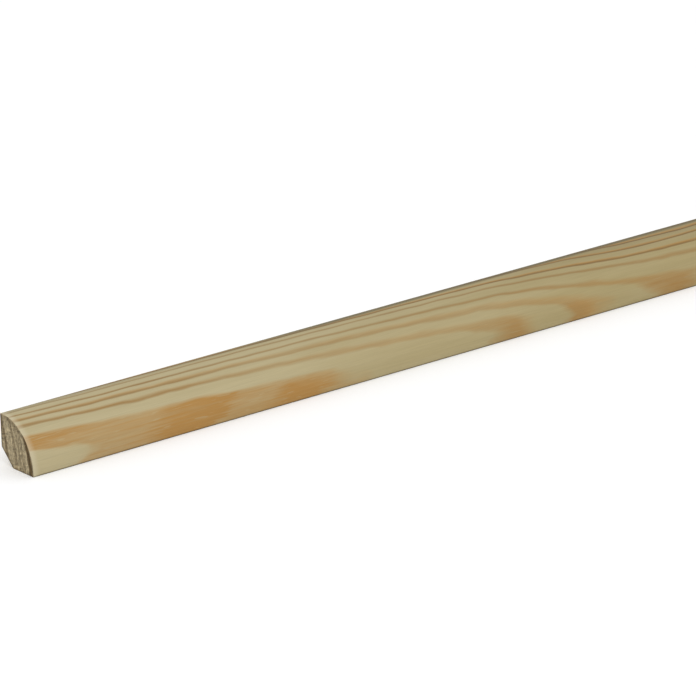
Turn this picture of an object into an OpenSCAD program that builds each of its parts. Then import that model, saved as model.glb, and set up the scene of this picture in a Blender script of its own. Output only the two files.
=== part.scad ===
// Softwood quarter-round moulding, planed along its whole length and sawn square at both ends.
// X runs along the stick, the rounded face looks to -Y, the wall face to +Y, and it lies on Z = 0.
// The origin is in the middle of the stick, at the level of the floor face.

/* [Length] */
// Length as sold, from one sawn end to the other
length = 2400; // [300:100:4000]

/* [Section] */
// Depth of the stick, from the front flat to the wall face
width = 15; // [10:0.5:30]
// Height of the stick, from the floor face to the top flat
height = 15; // [10:0.5:30]
// Flat left on top, between the rounded face and the wall face
top_flat = 1; // [0.8:0.1:4]
// Flat left on the front, between the rounded face and the floor face
front_flat = 1; // [0.8:0.1:4]
// Leg of the bevel at 45 degrees, planed off the corner that goes into the angle of wall and floor
back_bevel = 5.2; // [2:0.1:6]
// Radius of the eased arrises
arris_r = 0.3; // [0.1:0.05:0.6]

/* [Hidden] */
$fn = 96;

pine = [0.76, 0.66, 0.50];

// The front flat and the wall face, in the section's plane
front = -width / 2;
back = width / 2;

// The rounded face is one arc from the edge of the top flat to the edge of the front flat.
// Where it runs as far forwards as it drops, it is a quarter circle and both flats are tangents.
// Otherwise only the flat beside the longer way is one, and the arc meets the other at a slight angle.
face_run = width - top_flat;
face_drop = height - front_flat;
face_r = (pow(face_run, 2) + pow(face_drop, 2)) / (2 * min(face_run, face_drop));
face_centre = face_run > face_drop
    ? [front + face_run, height - face_r]
    : [front + face_r, front_flat];

// How far the waste reaches past the stick's own faces
past = 1;

// Each arris: its place, the direction into the wood and the angle that the wood fills there
SQUARE = 90;
OBTUSE = 135;
arrises = [
    [[back, height], 225, SQUARE],
    [[front, 0], 45, SQUARE],
    [[back, back_bevel], 157.5, OBTUSE],
    [[back - back_bevel, 0], 112.5, OBTUSE],
];

// What the cutter takes off outside the arc of the rounded face
module face_waste() {
    difference() {
        translate([front - past, front_flat])
            square([face_run + past, face_drop + past]);
        translate(face_centre)
            circle(r = face_r);
    }
}

// The corner taken off between the wall face and the floor face
module bevel_waste() {
    translate([back, 0])
        rotate(45)
            square(back_bevel * sqrt(2), center = true);
}

// The sliver that easing takes off an arris, with the corner at the origin and the wood along +X
module arris_waste(angle) {
    to_centre = arris_r / sin(angle / 2);
    to_edge = arris_r / tan(angle / 2);
    difference() {
        polygon([
            [-arris_r, 0],
            to_edge * [cos(angle / 2), -sin(angle / 2)],
            [to_centre, 0],
            to_edge * [cos(angle / 2), sin(angle / 2)],
        ]);
        translate([to_centre, 0])
            circle(r = arris_r);
    }
}

// The planed section, seen from the right-hand end: X runs to the wall face and Y up
module section() {
    difference() {
        translate([front, 0])
            square([width, height]);
        face_waste();
        bevel_waste();
        for (arris = arrises)
            translate(arris[0])
                rotate(arris[1])
                    arris_waste(arris[2]);
    }
}

// The whole stick, one piece of wood
module moulding() {
    color(pine)
        rotate([90, 0, 90])
            linear_extrude(height = length, center = true)
                section();
}

moulding();
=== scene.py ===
import math
import bmesh
import bpy
from mathutils import Matrix, Vector, noise


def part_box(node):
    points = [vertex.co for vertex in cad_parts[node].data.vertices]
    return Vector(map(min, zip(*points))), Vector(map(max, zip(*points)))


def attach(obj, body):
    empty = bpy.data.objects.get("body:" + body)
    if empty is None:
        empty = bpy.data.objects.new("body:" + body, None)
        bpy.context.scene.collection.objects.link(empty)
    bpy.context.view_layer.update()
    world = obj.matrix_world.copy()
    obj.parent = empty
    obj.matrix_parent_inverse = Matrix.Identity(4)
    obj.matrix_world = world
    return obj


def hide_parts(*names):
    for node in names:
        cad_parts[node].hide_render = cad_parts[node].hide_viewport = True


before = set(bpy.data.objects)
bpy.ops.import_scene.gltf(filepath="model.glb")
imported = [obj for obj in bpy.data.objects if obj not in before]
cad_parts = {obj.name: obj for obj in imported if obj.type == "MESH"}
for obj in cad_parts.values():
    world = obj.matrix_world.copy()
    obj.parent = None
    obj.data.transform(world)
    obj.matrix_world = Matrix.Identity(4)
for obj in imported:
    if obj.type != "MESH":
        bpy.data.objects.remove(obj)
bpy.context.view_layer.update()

MM = 0.001

# The stick as its source has it, in metres: X runs along it, the wall face looks to +Y
STICK_LOW, STICK_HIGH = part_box("moulding")
LENGTH = STICK_HIGH.x - STICK_LOW.x
FRONT = STICK_LOW.y
BACK = STICK_HIGH.y
TOP = STICK_HIGH.z
WIDTH = BACK - FRONT
FACE_RADIUS = 14 * MM
BACK_BEVEL = 5.2 * MM
ARRIS = 0.3 * MM
# Half the angle through which the blunt arrises at the bevel turn
BLUNT_HALF_TURN = math.radians(22.5)

# How finely the stick is modelled, and the angle from which an edge shows as sharp
FACE_SEGMENTS = 64
SQUARE_ARRIS_SEGMENTS = 5
BLUNT_ARRIS_SEGMENTS = 3
CUTS_ALONG = 24
SHARP_FROM = math.radians(35)
# A face whose normal leans along the stick by more than this belongs to a sawn end
END_FACE_LEAN = 0.5

# The relief of the sawn ends: the size of its cells, how far it starts from the edge, and its depths
END_CELL = 0.3 * MM
END_MARGIN = 0.25 * MM
SAW_DEPTH = 0.07 * MM
FIBRE_DEPTH = 0.05 * MM
# How far a saw stroke drops over each mm that it runs back, and in mm how far it reaches, how far the
# strokes lie apart and how large torn fibres are
STROKE_LEAN = 0.24
STROKE_LENGTH = 7
STROKE_PITCH = 0.5
TORN_FIBRE = 0.6
# How many steps of the noise each metre along the stick takes, so that the two ends differ
END_SHIFT = 7
# How exactly planes cut, in metres, and the share of a cell within which two corners are one
CUT_PRECISION = 1e-7
SAME_CORNER = 0.1

# The map that the stick's finish is kept on: rows along the stick, and a strip for the two ends
MAP_ROWS = 4
MAP_MARGIN = 0.004
ROW_SHARE = 0.23
ROW_MARGIN = 0.02
END_STRIP_SHARE = 0.068
END_MARGIN_SHARE = 0.05
NEAR_END_LEFT = 0.1
FAR_END_LEFT = 0.6
# Shares of the way round the outline: a corner before the first is near its start, and one past the last
# is near its end
FIRST_PART = 0.25
LAST_PART = 0.75

# How the tree grew, in mm. The rings swing through the section as the stick runs along:
# each swing has the two places along the stick between which it happens, and how far it goes
GRAIN_START = -2.2
GRAIN_SWINGS = [
    (-190, 410, 7.1), (0, 30, 0.34), (70, 160, 0.48), (140, 200, 0.6), (165, 225, 1.95), (200, 250, 0.7),
    (246, 310, -3.6), (420, 700, -5.0), (800, 1150, 9.0), (1250, 1600, -6.0), (1700, 2050, 8.0),
    (2100, 2350, -6.0),
]
# The swings that only the stick's back makes, and how far behind the front they begin and are full
BACK_SWINGS = [(200, 228, 1.4), (300, 420, -1.4)]
BACK_SWING_DEPTH = (4, 11)
# How much the rings bow backwards with height, in mm for each square mm: through most of the stick, along
# its front, and along its front where an end cuts them, and how far behind the front the first takes over
RING_BOW = 0.0143
FRONT_BOW = 0.021
FRONT_BOW_DEPTH = (0.62, 2.16)
END_BOW = 0.0255
END_BOW_DEPTH = (2, 8)
# Each year's ring: its outer edge, inwards from the front of the near end, how far inwards its latewood
# stays full and how far it fades out, how rich it is, and how dark the line at its outer edge is
YEARS = [
    (-4.8, 0.5, 1.3, 0.8, 0.3), (-1.7, 0.4, 1.0, 0.8, 0.4), (0.11, 1.56, 1.92, 1.0, 0.05),
    (3.52, 0.25, 0.75, 0.75, 0.4), (5.25, 0.45, 1.0, 0.75, 0.4), (7.18, 0.2, 0.6, 0.8, 0.5),
    (9.45, 0.25, 0.65, 0.5, 0.4), (11.37, 0.5, 1.0, 0.9, 0.75), (14.34, 0.5, 1.1, 0.85, 0.8),
    (17.1, 0.6, 1.4, 0.9, 1.0), (20.0, 0.4, 1.0, 0.8, 0.8), (22.2, 0.8, 1.5, 0.8, 0.5),
    (25.1, 0.3, 0.8, 0.75, 0.7), (27.4, 0.6, 1.3, 0.8, 0.6), (30.0, 0.4, 1.0, 0.8, 0.7),
]
BARK_SIDE = -6
HEART_SIDE = 33
# In mm inwards from a year's edge: where its band starts to show, where the dark line does, up to where
# the line holds most of its darkness, what share that is, and where it ends
BAND_START = -0.2
LINE_START = -0.25
LINE_HELD = 0.25
LINE_HELD_SHARE = 0.8
LINE_END = 0.6
# The same for the band on a sawn end, whose width and fading grow with its richness
CUT_START = -0.35
CUT_FULL = -0.05
CUT_HELD = 1.1
CUT_END = 1.8
# Stretches of the stick where the front's broad latewood is rich in resin: where each begins, is full,
# starts to fade and ends, in mm along the stick, and how far into the tree that latewood reaches
RESIN_STRETCHES = [(-40, -20, -15, 20), (34, 50, 64, 69), (80, 91, 99, 108)]
RESIN_DEPTH = (2.3, 2.9)
# How far the resin's ends lean with height from this level on, and how far they wander and feather, in mm
RESIN_LEAN = 1.2
RESIN_LEVEL = 3
RESIN_WANDER = 8
RESIN_FEATHER = 12
# What the broad latewood's share falls by where it has no resin
LEAN_SHARE = 0.38
# Where the rings near the front grow faint: the stretch over which they begin to, are faint, begin to
# recover and have recovered, from which levels up, how far into the tree, and by how much
FAINT_STRETCH = (45, 90, 300, 420)
FAINT_LEVELS = (4, 7.5)
FAINT_DEPTH = (6, 10)
FAINT_SHARE = 0.42

# The blotches of each unevenness: their size along the stick, behind its front and in height, in mm
SWAY = (45, 9, 9)
RIPPLE = (11, 3, 3)
FIBRES = (14, 0.25, 0.25)
CLOUDS = (60, 6, 6)
FAR_CHANGES = (240, 30, 30)
RESIN_WAVES = (7, 3, 2)
RESIN_STREAKS = (14, 0.4, 0.4)
STREAKS = (16, 0.7, 0.7)
FLECKS = (4.5, 0.45, 0.45)
TORN_WOOD = (3, 0.7, 1.3)
PORES = (1, 0.2, 0.25)
SAW_STROKES = (3, 5, 0.6)
DEEP_SAWN_PATCHES = (9, 9, 4)
PITS = (1, 0.8, 0.9)
PITS_SHIFT = 40
# How far the sway and the ripple move the rings, in mm
SWAY_REACH = 0.35
RIPPLE_REACH = 0.6
# The part of each noise over which what it stands for goes from none to full
CLOUD_RANGE = (-0.2, 0.2)
FAR_RANGE = (-0.15, 0.15)
FLECK_RANGE = (0.17, 0.3)
DEEP_SAWN_RANGE = (-0.05, 0.15)
PIT_RANGE = (0.1, 0.2)

# What both finishes share
BUMP_STRENGTH = 0.5
SHINE = 0.3

# The planed faces. A pair of places is where something starts to show and where it is full, in mm along
# the stick, behind its front, above its floor face or into the tree, as its name says
WARM_CLOUDS = 0.3
WARM_ALONG = 0.7
WARM_PLACES = (10, 230)
PALE_FAR_CHANGES = 0.7
FAR_PLACES = (300, 600)
HEARTWOOD_SHARE = 0.5
HEARTWOOD_DEPTH = (8, 22)
STREAK_SHARE = 0.7
FLECK_SHARE = 0.3
LINE_SHARE_LOW = 0.4
LINE_SHARE_HIGH = 0.6
LINE_LEVELS = (7, 14)
FIBRE_TONE = 0.26
# Painted shade: the planed faces grow darker by this share towards the top of the stick, between these levels
PAINTED_TOP_SHADE = 0.05
PAINTED_TOP_SHADE_LEVELS = (8, 14)
# A darker line along the top flat and the arris behind it, stronger further along the stick
DARK_TOP_EDGE_DEPTH = (12.3, 13.8)
DARK_TOP_EDGE_LEVELS = (13.5, 14.5)
DARK_TOP_EDGE_SHARE = 0.25
DARK_TOP_EDGE_ALONG = 0.5
DARK_TOP_EDGE_PLACES = (60, 120)
# Painted shade along the bottom front arris, where it meets the floor
PAINTED_FRONT_SHADE_SHARE = 0.8
PAINTED_FRONT_SHADE_DEPTH = (0.3, 0.8)
PAINTED_FRONT_SHADE_LEVELS = (0.15, 0.6)
# Painted highlight: a paler strip on the planed faces next to each sawn end
RIM_HIGHLIGHT_SHARE = 0.4
RIM_HIGHLIGHT_PLACES = (0.2, 2.4)
PLANED_ROUGHNESS = 0.58
FIBRE_ROUGHNESS = 0.1
FIBRE_RELIEF = 0.03
LATEWOOD_RELIEF = 0.01

# The sawn ends, with distances from their edges in mm
RING_SHARE = 0.95
RIM_SHARE = 0.75
RIM_WIDTH = 1.0
FLOOR_RIM_SHIFT = 0.1
FACE_RIM_SHARE = 0.4
FACE_RIM_STARTS = (0.1, 0.4)
FACE_RIM_ENDS = (0.8, 1.8)
PIT_SHARE = 0.6
SAWN_TONE = 1.34
TORN_TONE = 3.8
PORE_TONE = 0.8
STROKE_TONE = 0.6
DEEP_STROKE_TONE = 3.0
SAWN_ROUGHNESS = 0.85
TORN_RELIEF = 0.12
PORE_RELIEF = 0.04
STROKE_RELIEF = 0.1
PIT_RELIEF = 0.1

# The photograph's frame, and its view of the stick
IMAGE_PX = 696
SENSOR_MM = 36
FOCAL_PX = 5238
CAMERA_AZIMUTH = -37.817
CAMERA_ELEVATION = 19.162
CAMERA_ROLL = -1.557
CAMERA_DISTANCE = 1.4438
# Where the near end's bottom front corner shows, in pixels from the frame's left and top
NEAR_CORNER_PX = (33.64, 477.73)
NEAREST_SEEN = 0.01
FARTHEST_SEEN = 200


def srgb(red, green, blue):
    """A colour as it shows, from 0 to 255, as the shader takes it."""
    shares = [channel / 255 for channel in (red, green, blue)]
    return (*[share / 12.92 if share <= 0.04045 else ((share + 0.055) / 1.055) ** 2.4 for share in shares], 1)


# The wood's colours
PALE_EARLYWOOD = srgb(188, 175, 137)
WARM_EARLYWOOD = srgb(168, 152, 107)
HEARTWOOD = srgb(132, 116, 78)
LATEWOOD = srgb(174, 131, 69)
LATEWOOD_EDGE = srgb(112, 93, 56)
# The colour of the dark line along the top, and of the painted shade along the bottom front arris
DARK_EDGE_AND_PAINTED_SHADE = srgb(94, 83, 52)
# The colour of the painted highlight beside the sawn ends
PAINTED_RIM_HIGHLIGHT = srgb(214, 204, 176)
END_EARLYWOOD = srgb(148, 135, 107)
END_LATEWOOD = srgb(72, 56, 30)

# The studio: what is seen straight is white, and the light on the stick is a little weaker
WHITE = (1, 1, 1, 1)
BLACK = (0, 0, 0, 1)
FLOOR_GREY = (0.8, 0.8, 0.8, 1)
FLOOR_SIZE = 60
FLOOR_LIFT = 0.07
WORLD_LEVEL = 0.85
LAMP_SIZE = 3.0
LAMP_POWER = 30
LAMP_PLACE = (-2.6, -2.2, 2.6)
LAMP_AIM = (-1.1, 0, 0)


# The sockets of a Mix node that mixes colours
MIX_SHARE = 0
MIX_FIRST = 6
MIX_SECOND = 7
MIX_RESULT = 2


class Value:
    """One socket of a material. Sums on it add their Math nodes."""

    def __init__(self, maker, socket):
        self.maker = maker
        self.socket = socket

    def math(self, operation, *terms):
        return self.maker.node("ShaderNodeMath", {"operation": operation}, dict(enumerate(terms)))

    def __add__(self, other):
        return self.math("ADD", self, other)

    def __radd__(self, other):
        return self.math("ADD", other, self)

    def __sub__(self, other):
        return self.math("SUBTRACT", self, other)

    def __rsub__(self, other):
        return self.math("SUBTRACT", other, self)

    def __mul__(self, other):
        return self.math("MULTIPLY", self, other)

    def __rmul__(self, other):
        return self.math("MULTIPLY", other, self)

    def __truediv__(self, other):
        return self.math("DIVIDE", self, other)

    def root(self):
        return self.math("SQRT", self)

    def least(self, other):
        return self.math("MINIMUM", self, other)

    def rise(self, start, end):
        """0 up to start, 1 from end on, and smooth between them."""
        return self.maker.node(
            "ShaderNodeMapRange",
            {"interpolation_type": "SMOOTHSTEP"},
            {"Value": self, "From Min": start, "From Max": end},
        )

    def fall(self, start, end):
        """1 up to start, 0 from end on, and smooth between them."""
        return 1 - self.rise(start, end)


class Maker:
    """Adds nodes to the tree of one material or of the world."""

    def __init__(self, holder):
        holder.use_nodes = True
        self.tree = holder.node_tree
        self.tree.nodes.clear()

    def node(self, kind, settings, inputs, out=0):
        made = self.tree.nodes.new(kind)
        for name, setting in settings.items():
            if name == "points":
                draw_curve(made.mapping, setting)
            else:
                setattr(made, name, setting)
        for name, value in inputs.items():
            if isinstance(value, Value):
                self.tree.links.new(value.socket, made.inputs[name])
            else:
                made.inputs[name].default_value = value
        return None if out is None else Value(self, made.outputs[out])


def draw_curve(mapping, points):
    """Draws a Float Curve as straight lines through points whose x and y go from 0 to 1."""
    line = mapping.curves[0]
    line.points[0].location = points[0]
    line.points[1].location = points[-1]
    for x, y in points[1:-1]:
        line.points.new(x, y)
    for point in line.points:
        point.handle_type = "VECTOR"
    mapping.update()


def uneven(add, place, size, detail=2.0, roughness=0.5):
    """Noise around 0, from about -0.3 to 0.3, at a place in the stick and with blotches of a size."""
    x, y, z = [way / step for way, step in zip(place, size)]
    where = add.node("ShaderNodeCombineXYZ", {}, {0: x, 1: y, 2: z})
    inputs = {"Vector": where, "Scale": 1.0, "Detail": detail, "Roughness": roughness}
    return add.node("ShaderNodeTexNoise", {"noise_dimensions": "3D"}, inputs) - 0.5


def blend(add, share, first, second, way="MIX"):
    settings = {"data_type": "RGBA", "blend_type": way}
    inputs = {MIX_SHARE: share, MIX_FIRST: first, MIX_SECOND: second}
    return add.node("ShaderNodeMix", settings, inputs, out=MIX_RESULT)


def toned(add, colour, tone):
    """The colour made lighter or darker by a factor."""
    grey = add.node("ShaderNodeCombineColor", {}, {0: tone, 1: tone, 2: tone})
    return blend(add, 1.0, colour, grey, "MULTIPLY")


def finish_surface(add, inputs):
    """Ends a material with one surface."""
    surface = add.node("ShaderNodeBsdfPrincipled", {}, inputs)
    add.node("ShaderNodeOutputMaterial", {}, {0: surface}, out=None)


def place_object(name, held):
    made = bpy.data.objects.new(name, held)
    bpy.context.scene.collection.objects.link(made)
    return made


# The wood


def place_in_stick(add):
    """Millimetres along the stick, behind its front and above its floor face."""
    here = add.node("ShaderNodeTexCoord", {}, {}, out="Object")
    x, y, z = [add.node("ShaderNodeSeparateXYZ", {}, {0: here}, out=axis) for axis in "XYZ"]
    return (x - STICK_LOW.x) / MM, (y - FRONT) / MM, z / MM


def swings(along, places):
    return sum(along.rise(start, end) * amount for start, end, amount in places)


def over_stretch(along, stretch):
    """1 within a stretch of the stick and 0 outside it, and smooth where it starts and ends."""
    start, full, fading, end = stretch
    return along.rise(start, full) * along.fall(fading, end)


def inwards_from_bark(add, place, front_bow, front_bow_depth):
    """How far in the tree a point lay, in mm."""
    along, depth, level = place
    bow = front_bow - depth.rise(*front_bow_depth) * (front_bow - RING_BOW)
    drift = swings(along, GRAIN_SWINGS) + GRAIN_START
    back_drift = swings(along, BACK_SWINGS) * depth.rise(*BACK_SWING_DEPTH)
    sway = uneven(add, place, SWAY) * SWAY_REACH
    ripple = uneven(add, place, RIPPLE, detail=1) * RIPPLE_REACH
    return depth - level * level * bow + drift + back_drift + sway + ripple


def ring_curve(add, inwards, shape_of):
    """A curve over the depth into the tree, from each year's shape in mm inwards from its edge."""
    reach = HEART_SIDE - BARK_SIDE
    points = [(0, 0)]
    for edge, full, faded, rich, dark in YEARS:
        shape = shape_of(full, faded, rich, dark)
        points += [((edge + step - BARK_SIDE) / reach, share) for step, share in shape]
    points.append((1, 0))
    return add.node("ShaderNodeFloatCurve", {"points": points}, {"Value": (inwards - BARK_SIDE) / reach})


def latewood_band(full, faded, rich, dark):
    """The dense wood that a year ends with, which fades inwards."""
    return [(BAND_START, 0), (0.0, rich), (full, rich), (faded, 0)]


def latewood_line(full, faded, rich, dark):
    """The dark line at a year's outer edge."""
    return [(LINE_START, 0), (0.0, dark), (LINE_HELD, LINE_HELD_SHARE * dark), (LINE_END, 0)]


def cut_latewood(full, faded, rich, dark):
    """The band on a sawn end, where only the richest still stands out among the saw marks."""
    share = rich ** 3
    return [(CUT_START, 0), (CUT_FULL, share), (CUT_HELD * rich ** 2, share), (CUT_END * rich, 0)]


def wood(add, colour, roughness, relief):
    """Ends a material of wood, whose relief is in mm."""
    bump = add.node("ShaderNodeBump", {}, {"Strength": BUMP_STRENGTH, "Distance": MM, "Height": relief})
    finish_surface(add, {
        "Base Color": colour, "Roughness": roughness, "Specular IOR Level": SHINE, "Normal": bump,
    })


def planed_pine():
    """The faces along the stick: rings cut lengthwise, with fibres and slow changes of tone."""
    made = bpy.data.materials.new("planed_pine")
    add = Maker(made)
    place = place_in_stick(add)
    along, depth, level = place
    inwards = inwards_from_bark(add, place, FRONT_BOW, FRONT_BOW_DEPTH)
    band = ring_curve(add, inwards, latewood_band)
    line = ring_curve(add, inwards, latewood_line)
    faint = over_stretch(along, FAINT_STRETCH) * level.rise(*FAINT_LEVELS)
    faint = faint * inwards.rise(*RESIN_DEPTH) * inwards.fall(*FAINT_DEPTH) * FAINT_SHARE
    band = band * (1 - faint)
    line = line * (1 - faint)

    clouds = uneven(add, place, CLOUDS).rise(*CLOUD_RANGE)
    far_changes = uneven(add, place, FAR_CHANGES).rise(*FAR_RANGE) * along.rise(*FAR_PLACES)
    warmth = clouds * WARM_CLOUDS + along.rise(*WARM_PLACES) * WARM_ALONG - far_changes * PALE_FAR_CHANGES
    colour = blend(add, warmth, PALE_EARLYWOOD, WARM_EARLYWOOD)
    colour = blend(add, inwards.rise(*HEARTWOOD_DEPTH) * HEARTWOOD_SHARE, colour, HEARTWOOD)

    resin_along = along - (level - RESIN_LEVEL) * RESIN_LEAN
    resin_along = resin_along + uneven(add, place, RESIN_WAVES) * RESIN_WANDER
    resin_along = resin_along + uneven(add, place, RESIN_STREAKS) * RESIN_FEATHER
    broad = inwards.fall(*RESIN_DEPTH)
    resin = broad * sum(over_stretch(resin_along, stretch) for stretch in RESIN_STRETCHES)
    streaks = uneven(add, place, STREAKS) * STREAK_SHARE
    latewood_share = band * (1 - broad * LEAN_SHARE + resin * LEAN_SHARE + streaks)
    colour = blend(add, latewood_share.least(1.0), colour, LATEWOOD)
    flecks = uneven(add, place, FLECKS, detail=0).rise(*FLECK_RANGE)
    colour = blend(add, flecks * band * FLECK_SHARE, colour, PALE_EARLYWOOD)
    line_share = line * (level.rise(*LINE_LEVELS) * LINE_SHARE_HIGH + LINE_SHARE_LOW)
    colour = blend(add, line_share, colour, LATEWOOD_EDGE)

    fibres = uneven(add, place, FIBRES, detail=3, roughness=0.6)
    # The fibres vary the tone at random; the darkening towards the top is painted shade
    colour = toned(add, colour, 1 + fibres * FIBRE_TONE - level.rise(*PAINTED_TOP_SHADE_LEVELS) * PAINTED_TOP_SHADE)
    # Darker along the top flat and its back arris
    dark_top_edge = depth.rise(*DARK_TOP_EDGE_DEPTH) * level.rise(*DARK_TOP_EDGE_LEVELS)
    dark_top_edge = dark_top_edge * (along.rise(*DARK_TOP_EDGE_PLACES) * DARK_TOP_EDGE_ALONG + DARK_TOP_EDGE_SHARE)
    # Painted shade: the bottom front arris darkened where it meets the floor
    painted_front_shade = depth.fall(*PAINTED_FRONT_SHADE_DEPTH) * level.fall(*PAINTED_FRONT_SHADE_LEVELS) * PAINTED_FRONT_SHADE_SHARE
    colour = blend(add, dark_top_edge + painted_front_shade, colour, DARK_EDGE_AND_PAINTED_SHADE)
    # Painted highlight: the planed faces paler next to both sawn ends
    to_far_end = LENGTH / MM - along
    rim_highlight = along.fall(*RIM_HIGHLIGHT_PLACES) + to_far_end.fall(*RIM_HIGHLIGHT_PLACES)
    colour = blend(add, rim_highlight * RIM_HIGHLIGHT_SHARE, colour, PAINTED_RIM_HIGHLIGHT)
    roughness = fibres * FIBRE_ROUGHNESS + PLANED_ROUGHNESS
    wood(add, colour, roughness, fibres * FIBRE_RELIEF - band * LATEWOOD_RELIEF)
    return made


def sawn_pine():
    """The ends: rings cut across, torn pores and saw strokes, and darker along the edges."""
    made = bpy.data.materials.new("sawn_pine")
    add = Maker(made)
    place = place_in_stick(add)
    along, depth, level = place
    rings = ring_curve(add, inwards_from_bark(add, place, END_BOW, END_BOW_DEPTH), cut_latewood)
    colour = blend(add, rings * RING_SHARE, END_EARLYWOOD, END_LATEWOOD)

    to_wall = WIDTH / MM - depth
    to_bevel = (to_wall + level - BACK_BEVEL / MM) / math.sqrt(2)
    rim = to_wall.least(to_bevel).least(level + FLOOR_RIM_SHIFT).fall(0, RIM_WIDTH)
    behind_centre = depth - FACE_RADIUS / MM
    above_centre = level - (TOP - FACE_RADIUS) / MM
    to_face = FACE_RADIUS / MM - (behind_centre * behind_centre + above_centre * above_centre).root()
    face_rim = to_face.rise(*FACE_RIM_STARTS) * to_face.fall(*FACE_RIM_ENDS)
    colour = blend(add, rim * RIM_SHARE + face_rim * FACE_RIM_SHARE, colour, END_LATEWOOD)
    pits = uneven(add, (along + PITS_SHIFT, depth, level), PITS).rise(*PIT_RANGE)
    colour = blend(add, pits * PIT_SHARE, colour, END_LATEWOOD)

    leaning = (along, depth, level + depth * STROKE_LEAN)
    strokes = uneven(add, leaning, SAW_STROKES, detail=1)
    deep = uneven(add, leaning, DEEP_SAWN_PATCHES, detail=1).rise(*DEEP_SAWN_RANGE)
    torn = uneven(add, place, TORN_WOOD, detail=3, roughness=0.65)
    pores = uneven(add, place, PORES)
    tone = torn * TORN_TONE + pores * PORE_TONE + strokes * (deep * DEEP_STROKE_TONE + STROKE_TONE)
    colour = toned(add, colour, tone + SAWN_TONE)
    relief = torn * TORN_RELIEF + pores * PORE_RELIEF + strokes * STROKE_RELIEF - pits * PIT_RELIEF
    wood(add, colour, SAWN_ROUGHNESS, relief)
    return made


# The stick


def across_stick(x):
    """Where a flat square of the section's size lies to stand across the stick."""
    return Matrix(((0, 0, 1, x), (1, 0, 0, 0), (0, 1, 0, TOP / 2), (0, 0, 0, 1)))


def everything(mesh):
    return mesh.verts[:] + mesh.edges[:] + mesh.faces[:]


def ease(section, y, z, offset, segments):
    """Rounds off the section's corner nearest to a place, from offset before it to offset after it."""
    place = Vector((STICK_LOW.x, y, z))
    corner = min(section.verts, key=lambda vert: (vert.co - place).length)
    bmesh.ops.bevel(
        section, geom=[corner], affect="VERTICES", offset=offset, offset_type="OFFSET",
        segments=segments, profile=0.5, material=-1, clamp_overlap=False,
    )


def planed_section():
    """The section at the near end, as one flat face."""
    section = bmesh.new()
    upright = across_stick(STICK_LOW.x)
    bmesh.ops.create_grid(section, x_segments=1, y_segments=1, size=WIDTH / 2, matrix=upright)
    blunt = ARRIS * math.tan(BLUNT_HALF_TURN)
    ease(section, FRONT, TOP, FACE_RADIUS, FACE_SEGMENTS)
    ease(section, BACK, 0, BACK_BEVEL, 1)
    ease(section, BACK, TOP, ARRIS, SQUARE_ARRIS_SEGMENTS)
    ease(section, FRONT, 0, ARRIS, SQUARE_ARRIS_SEGMENTS)
    ease(section, BACK, BACK_BEVEL, blunt, BLUNT_ARRIS_SEGMENTS)
    ease(section, BACK - BACK_BEVEL, 0, blunt, BLUNT_ARRIS_SEGMENTS)
    return section


def measure_girth(section):
    """Gives each corner of the section its way round the outline, and returns the whole girth."""
    girth = section.verts.layers.float.new("girth")
    way = 0.0
    for loop in section.faces[:][0].loops:
        loop.vert[girth] = way
        way += loop.edge.calc_length()
    return way


def relief_patch(x, outward, outline):
    """A flat patch with saw marks and torn fibres, as the outline less an even margin."""
    middle = sum((a for a, b in outline), Vector()) / len(outline)
    patch = bmesh.new()
    cells = round(WIDTH / END_CELL)
    upright = across_stick(x)
    bmesh.ops.create_grid(patch, x_segments=cells, y_segments=cells, size=WIDTH / 2, matrix=upright)
    for a, b in outline:
        away = (b - a).cross(Vector((1, 0, 0))).normalized()
        if away.dot(a - middle) < 0:
            away = -away
        bmesh.ops.bisect_plane(
            patch, geom=everything(patch), dist=CUT_PRECISION,
            plane_co=a - away * END_MARGIN, plane_no=away, clear_outer=True,
        )
    bmesh.ops.remove_doubles(patch, verts=patch.verts, dist=END_CELL * SAME_CORNER)
    for vert in patch.verts:
        if vert.is_boundary:
            continue
        y, z = vert.co.y / MM, vert.co.z / MM
        lean = z + y * STROKE_LEAN
        stroke = noise.noise(Vector((x * END_SHIFT, y / STROKE_LENGTH, lean / STROKE_PITCH)))
        fibre = noise.noise(Vector((x * END_SHIFT, y / TORN_FIBRE, z / TORN_FIBRE)))
        vert.co.x += outward * (min(stroke, 0) * SAW_DEPTH + min(fibre, 0) * FIBRE_DEPTH)
    return patch


def saw_end(stick, x, outward):
    """Replaces an end's flat face by its relief, joined to the edge by an even rim."""
    faces = [
        face for face in stick.faces
        if abs(face.normal.x) > END_FACE_LEAN and abs(face.calc_center_median().x - x) < MM
    ]
    edges = [edge for face in faces for edge in face.edges]
    outline = [(edge.verts[0].co.copy(), edge.verts[1].co.copy()) for edge in edges]
    bmesh.ops.delete(stick, geom=faces, context="FACES_ONLY")
    patch = relief_patch(x, outward, outline)
    carried = bpy.data.meshes.new("end_patch")
    patch.to_mesh(carried)
    patch.free()
    before = set(stick.verts)
    stick.from_mesh(carried)
    bpy.data.meshes.remove(carried)
    bare = [edge for edge in stick.edges if edge.is_boundary and abs(edge.verts[0].co.x - x) < MM]
    inner = [edge for edge in bare if edge.verts[0] not in before]
    outer = [edge for edge in bare if edge.verts[0] in before]
    bmesh.ops.triangle_fill(stick, edges=inner + outer, use_beauty=True)


def map_end(face, uv):
    """Lays a face of a sawn end in the strip for the ends, as it is seen from the right."""
    left = NEAR_END_LEFT if face.calc_center_median().x < 0 else FAR_END_LEFT
    spread = 1 - 2 * END_MARGIN_SHARE
    for loop in face.loops:
        across = (loop.vert.co.y - FRONT) / WIDTH * spread
        up = loop.vert.co.z / TOP * spread + END_MARGIN_SHARE
        loop[uv].uv = (left + across * END_STRIP_SHARE, 1 - END_STRIP_SHARE + up * END_STRIP_SHARE)


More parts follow.
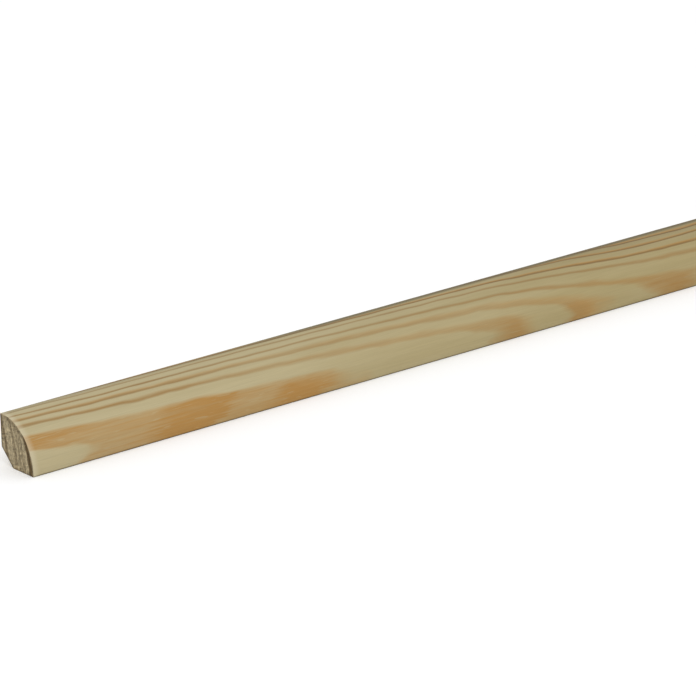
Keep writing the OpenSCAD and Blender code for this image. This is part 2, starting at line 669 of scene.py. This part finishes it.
def map_length(face, uv, girth, girth_length):
    """Lays a planed face in its row, along the stick and round the outline."""
    row_length = LENGTH / MAP_ROWS
    row = min(int((face.calc_center_median().x - STICK_LOW.x) / row_length), MAP_ROWS - 1)
    closes = any(loop.vert[girth] > girth_length * LAST_PART for loop in face.loops)
    for loop in face.loops:
        way = loop.vert[girth] / girth_length
        if closes and way < FIRST_PART:
            way = 1.0
        along = (loop.vert.co.x - STICK_LOW.x) / row_length - row
        across = ROW_MARGIN + way * (1 - 2 * ROW_MARGIN)
        loop[uv].uv = (MAP_MARGIN + along * (1 - 2 * MAP_MARGIN), (row + across) * ROW_SHARE)


def moulding():
    """The whole stick: its section drawn out along X, and both ends sawn."""
    stick = planed_section()
    girth_length = measure_girth(stick)
    drawn = bmesh.ops.extrude_face_region(stick, geom=stick.faces[:])
    far_end = [part for part in drawn["geom"] if isinstance(part, bmesh.types.BMVert)]
    bmesh.ops.translate(stick, verts=far_end, vec=(LENGTH, 0, 0))
    for step in range(1, CUTS_ALONG):
        place = (STICK_LOW.x + LENGTH * step / CUTS_ALONG, 0, 0)
        bmesh.ops.bisect_plane(stick, geom=everything(stick), plane_co=place, plane_no=(1, 0, 0))
    bmesh.ops.recalc_face_normals(stick, faces=stick.faces)
    saw_end(stick, STICK_LOW.x, -1)
    saw_end(stick, STICK_HIGH.x, 1)
    bmesh.ops.recalc_face_normals(stick, faces=stick.faces)

    uv = stick.loops.layers.uv.new("OFBake")
    girth = stick.verts.layers.float["girth"]
    for face in stick.faces:
        face.smooth = True
        if abs(face.normal.x) > END_FACE_LEAN:
            face.material_index = 1
            map_end(face, uv)
        else:
            map_length(face, uv, girth, girth_length)
    for edge in stick.edges:
        if edge.calc_face_angle(0) > SHARP_FROM:
            edge.smooth = False
    mesh = bpy.data.meshes.new("pine_moulding")
    stick.to_mesh(mesh)
    stick.free()
    mesh.materials.append(planed_pine())
    mesh.materials.append(sawn_pine())
    return place_object("pine_moulding", mesh)


# The studio


def floor():
    material = bpy.data.materials.new("white_floor")
    add = Maker(material)
    seen = add.node("ShaderNodeLightPath", {}, {}, out="Is Camera Ray")
    finish_surface(add, {
        "Base Color": blend(add, seen, FLOOR_GREY, WHITE), "Roughness": 1.0, "Specular IOR Level": 0.0,
        "Emission Color": blend(add, seen, BLACK, WHITE), "Emission Strength": FLOOR_LIFT,
    })
    flat = bmesh.new()
    bmesh.ops.create_grid(flat, x_segments=1, y_segments=1, size=FLOOR_SIZE / 2)
    mesh = bpy.data.meshes.new("floor")
    flat.to_mesh(mesh)
    flat.free()
    mesh.materials.append(material)
    place_object("floor", mesh)


def lights():
    world = bpy.data.worlds.new("studio")
    add = Maker(world)
    seen = add.node("ShaderNodeLightPath", {}, {}, out="Is Camera Ray")
    strength = seen * (1 - WORLD_LEVEL) + WORLD_LEVEL
    light = add.node("ShaderNodeBackground", {}, {"Color": WHITE, "Strength": strength})
    add.node("ShaderNodeOutputWorld", {}, {0: light}, out=None)
    bpy.context.scene.world = world

    lamp = bpy.data.lights.new("soft_box", "AREA")
    lamp.shape = "DISK"
    lamp.size = LAMP_SIZE
    lamp.energy = LAMP_POWER
    hung = place_object("soft_box", lamp)
    hung.location = LAMP_PLACE
    towards_stick = Vector(LAMP_AIM) - Vector(LAMP_PLACE)
    hung.rotation_euler = towards_stick.to_track_quat("-Z", "Y").to_euler()


def camera():
    """Puts the near end's bottom front corner at its pixel, seen as the photograph sees it."""
    around = math.radians(CAMERA_AZIMUTH)
    height = math.radians(CAMERA_ELEVATION)
    roll = math.radians(CAMERA_ROLL)
    flat_back = Vector((math.sin(around), -math.cos(around), 0))
    back = flat_back * math.cos(height) + Vector((0, 0, math.sin(height)))
    level_right = Vector((math.cos(around), math.sin(around), 0))
    level_up = back.cross(level_right)
    right = math.cos(roll) * level_right + math.sin(roll) * level_up
    up = back.cross(right)
    metres_per_px = CAMERA_DISTANCE / FOCAL_PX
    aside = (NEAR_CORNER_PX[0] - IMAGE_PX / 2) * metres_per_px
    above = (IMAGE_PX / 2 - NEAR_CORNER_PX[1]) * metres_per_px
    near_corner = Vector((STICK_LOW.x, FRONT, 0))
    eye = near_corner + CAMERA_DISTANCE * back - aside * right - above * up

    lens = bpy.data.cameras.new("camera")
    lens.sensor_width = SENSOR_MM
    lens.lens = FOCAL_PX * SENSOR_MM / IMAGE_PX
    lens.clip_start = NEAREST_SEEN
    lens.clip_end = FARTHEST_SEEN
    taken_from = place_object("camera", lens)
    turned = Matrix((right, up, back)).transposed().to_4x4()
    taken_from.matrix_world = Matrix.Translation(eye) @ turned
    bpy.context.scene.camera = taken_from


camera()
stick = moulding()
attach(stick, "root")
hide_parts("moulding")
floor()
lights()
bpy.context.scene.view_settings.view_transform = "Standard"
